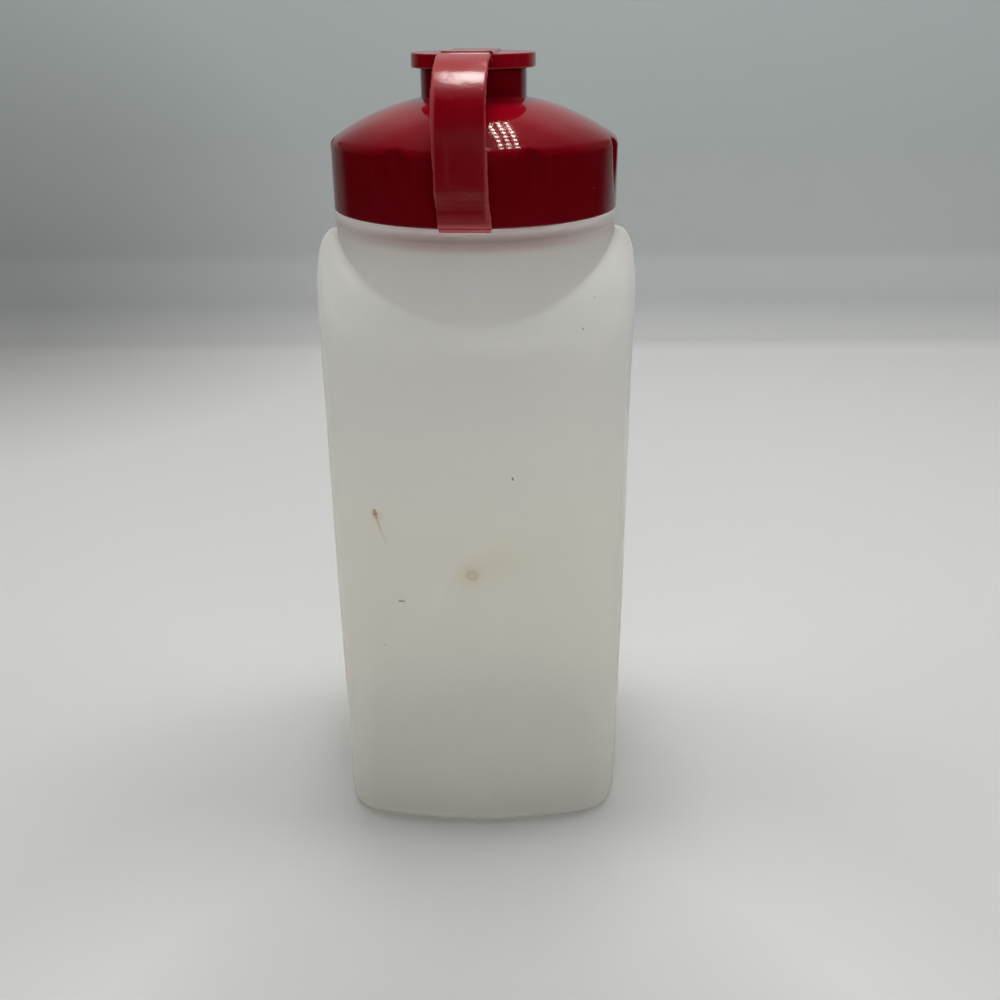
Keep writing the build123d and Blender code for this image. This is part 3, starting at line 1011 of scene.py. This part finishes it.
def make_lamp_panel():
    """A slanting panel of three columns of nine small lamps, high up behind the bottle to the right."""
    glow = glow_material("lamp_glow", (1.0, 0.94, 0.84, 1), 46.0)
    height = 900.0
    near_end, far_end = np.array([110.0, 205.0, height]), np.array([39.0, 565.0, height])
    across = np.array([35.0, 22.0, 0.0])
    lamp_size = np.array([6.0, 5.5, 0.0])
    shape = np.array([(-1, -1, 0), (-1, 1, 0), (1, 1, 0), (1, -1, 0)])
    rows, lines = 9, 3
    for row in range(rows):
        for line in range(lines):
            middle = near_end + (far_end - near_end) * row / (rows - 1) + across * line
            stage_panel(f"lamp_{row}_{line}", middle + shape * lamp_size, glow)


def make_studio():
    """A pale sweep under one mirrored lamp, a panel of small ones, and soft lamps that leave no highlight."""
    make_sweep()
    make_world()
    make_lamp_panel()
    area_light("overhead", (-35, 70, 900), (-35, 20, 0), (160, 240), 2.0, (1.0, 0.98, 0.95))
    soft_lamps = (
        ("overhead_soft", (40, 70, 900), (40, 20, 0), (700, 240), 4.2),
        ("back_soft", (60, 420, 850), (0, 330, 0), (1000, 350), 2.5),
        ("left_soft", (-750, 100, 550), (0, 0, 90), (500, 500), 2.3),
        ("right_soft", (750, 100, 550), (0, 0, 90), (500, 500), 2.3),
        ("front_soft", (60, -640, 300), (0, 0, 40), (700, 300), 2.35),
    )
    for name, place, aim, size, power in soft_lamps:
        area_light(name, place, aim, size, power, mirrored=False)
    bpy.context.scene.view_settings.view_transform = "Standard"


def place_camera():
    """The photograph's view: a place, three turns, and a focal length in pixels of a 1000-pixel frame."""
    focal_pixels = 1087.084
    pitch, yaw, roll = (math.radians(value) for value in (24.379, -0.143, -0.447))
    place = (6.444, -288.881, 217.314)
    ahead = Vector((math.sin(yaw) * math.cos(pitch), math.cos(yaw) * math.cos(pitch), -math.sin(pitch)))
    level = Vector((math.cos(yaw), -math.sin(yaw), 0))
    upright = level.cross(ahead)
    right = level * math.cos(roll) + upright * math.sin(roll)
    up = upright * math.cos(roll) - level * math.sin(roll)
    lens = bpy.data.cameras.new("camera")
    lens.sensor_fit = "HORIZONTAL"
    lens.sensor_width = 36.0
    lens.lens = lens.sensor_width * focal_pixels / 1000
    lens.clip_start = 0.01
    camera = bpy.data.objects.new("camera", lens)
    turn = Matrix((right, up, -ahead)).transposed().to_4x4()
    camera.matrix_world = Matrix.Translation(Vector(place) * MILLIMETRE) @ turn
    bpy.context.scene.collection.objects.link(camera)
    bpy.context.scene.camera = camera


place_camera()
make_studio()

plastic = natural_plastic()
# The cap's dome gets painted light: a paler red rising towards the spout.
cap_red = red_gloss(
    "cap_red", (0.105, 0.0003, 0.003, 1), (0.125, 0.003, 0.008, 1),
    roughness=0.065, haze_roughness=0.10, waves=0.02, whitening_and_painted_light=painted_dome_light, pale=(0.21, 0.001, 0.007, 1),
)
hinge_red = red_gloss(
    "hinge_red", (0.42, 0.07, 0.08, 1), (0.47, 0.10, 0.11, 1),
    roughness=0.25, haze_roughness=0.10, waves=0.05,
)
lid_red = red_gloss(
    "lid_red", (0.19, 0.0006, 0.005, 1), (0.22, 0.008, 0.016, 1),
    roughness=0.15, haze_roughness=0.18, waves=0.06,
)
# The strap pales where it is whitened near the hinge, and with painted sheen on the arch and edges.
strap_red = red_gloss(
    "strap_red", (0.150, 0.0004, 0.004, 1), (0.17, 0.004, 0.010, 1),
    roughness=0.19, haze_roughness=0.10, waves=0.20, whitening_and_painted_light=strap_whitening_and_sheen, pale=(0.52, 0.11, 0.12, 1),
)
seal = soft_seal()

bottle_shell = make_bottle()
cap_shell = make_cap()
rim_clip = make_clip("rim_clip", rim_hinge, 220, 200, rim_clip_shift)
strap_band = make_strap()
lid_disc = make_lid_disc()
lid_band = make_lid_band()
lid_clip = make_clip("lid_clip", lid_hinge, 210, 225)
cap_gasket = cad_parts["cap_gasket"]

finishes = (
    (bottle_shell, "bottle", "natural_plastic", plastic, "bottle"),
    (cap_shell, "cap", "red_cap", cap_red, "screw_cap"),
    (rim_clip, "cap", "red_cap", hinge_red, "screw_cap"),
    (strap_band, "strap", "red_strap", strap_red, "lid_strap"),
    (lid_disc, "lid", "red_strap", lid_red, "spout_lid"),
    (lid_band, "lid", "red_strap", lid_red, "spout_lid"),
    (lid_clip, "lid", "red_strap", lid_red, "spout_lid"),
)
for piece, body, slot, material, node in finishes:
    piece.data.materials.append(material)
    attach(piece, body)
    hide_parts(node)
cap_gasket.data.materials.clear()
cap_gasket.data.materials.append(seal)
